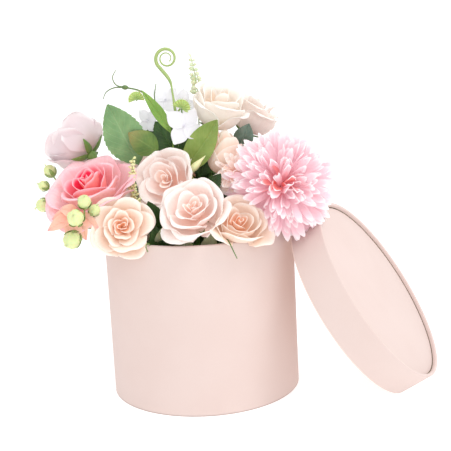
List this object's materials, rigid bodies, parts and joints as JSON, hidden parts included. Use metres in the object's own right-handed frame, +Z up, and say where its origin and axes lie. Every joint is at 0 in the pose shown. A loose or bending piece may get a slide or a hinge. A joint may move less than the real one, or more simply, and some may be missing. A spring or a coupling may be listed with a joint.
{
  "type": "flower box",
  "caption": "Round paper-covered florist's box with a lift-off lid leaning on it and a lift-out insert of foam and artificial flowers.",
  "frame": {"origin": "centre of the base's underside, on the surface the box stands on", "axes": "+Z up along the box's axis, -Y to the front of the arrangement, +X towards the leaning lid"},
  "size_m": [0.3349, 0.194, 0.2888],
  "materials": {
    "cover_paper": "matte uncoated pale pink cover paper",
    "lining_paper": "matte lining paper",
    "greyboard": "wound greyboard",
    "liner_plastic": "thin moulded liner",
    "flower_foam": "dry green flower foam, crumbly and matte",
    "pink_petals": "thin matte woven petal fabric, deeper pink at the heart",
    "cream_petals": "thin matte woven petal fabric, peach at the heart",
    "blush_petals": "thin matte woven petal fabric, blush at the heart",
    "mauve_petals": "thin matte woven petal fabric, dusty mauve",
    "white_petals": "thin matte white floret fabric",
    "leaf_fabric": "printed leaf fabric with veins",
    "stem_plastic": "plastic-coated wire",
    "berry_plastic": "satin pale green buds"
  },
  "bodies": {
    "box": {"body_tube": "greyboard", "body_wrap": "cover_paper", "body_lining": "lining_paper", "base_board": "greyboard", "base_paper": "cover_paper"},
    "insert": {"liner_pot": "liner_plastic", "mum_large_bloom": "pink_petals", "mum_large_stem": "stem_plastic", "mum_small_bloom": "cream_petals", "mum_small_stem": "stem_plastic", "rose_pink_bloom": "pink_petals", "rose_pink_stem": "stem_plastic", "rose_front_right_bloom": "cream_petals", "rose_front_right_stem": "stem_plastic", "rose_front_centre_bloom": "blush_petals", "rose_front_centre_stem": "stem_plastic", "rose_front_left_bloom": "cream_petals", "rose_front_left_stem": "stem_plastic", "rose_centre_bloom": "blush_petals", "rose_centre_stem": "stem_plastic", "rose_back_left_bloom": "mauve_petals", "rose_back_left_stem": "stem_plastic", "rose_top_bloom": "cream_petals", "rose_top_stem": "stem_plastic", "rose_top_right_bloom": "mauve_petals", "rose_top_right_stem": "stem_plastic", "rose_bud_bloom": "cream_petals", "rose_bud_stem": "stem_plastic", "rose_rear_left_bloom": "blush_petals", "rose_rear_left_stem": "stem_plastic", "rose_rear_centre_bloom": "cream_petals", "rose_rear_centre_stem": "stem_plastic", "rose_rear_right_bloom": "blush_petals", "rose_rear_right_stem": "stem_plastic", "leaf_large_left": "leaf_fabric", "leaf_dark_left": "leaf_fabric", "leaf_upright": "leaf_fabric", "leaf_dark_centre": "leaf_fabric", "leaf_dark_right": "leaf_fabric", "leaf_blue": "leaf_fabric", "leaf_front_left": "leaf_fabric", "leaf_front_centre": "leaf_fabric", "leaf_front_right": "leaf_fabric", "leaf_twisted": "leaf_fabric", "leaf_rear_left": "leaf_fabric", "leaf_rear_right": "leaf_fabric", "berry_spray_upper": "berry_plastic", "berry_spray_lower": "berry_plastic", "floret_spray": "white_petals", "fern_curl": "stem_plastic", "pea_tendril": "stem_plastic", "bud_sprig": "berry_plastic", "foam_block": "flower_foam"},
    "lid": {"lid_ring": "greyboard", "lid_wrap": "cover_paper", "lid_lining": "lining_paper", "lid_board": "greyboard", "lid_top_paper": "cover_paper", "lid_under_paper": "lining_paper"}
  },
  "joints": [
    {"name": "insert_lift", "type": "slide", "parent": "box", "child": "insert", "axis": [0, 0, 1], "range_m": [0, 0.16]},
    {"name": "lid_lift", "type": "slide", "parent": "box", "child": "lid", "axis": [0.7953, -0.2508, 0.5519], "range_m": [0, 0.15]}
  ]
}
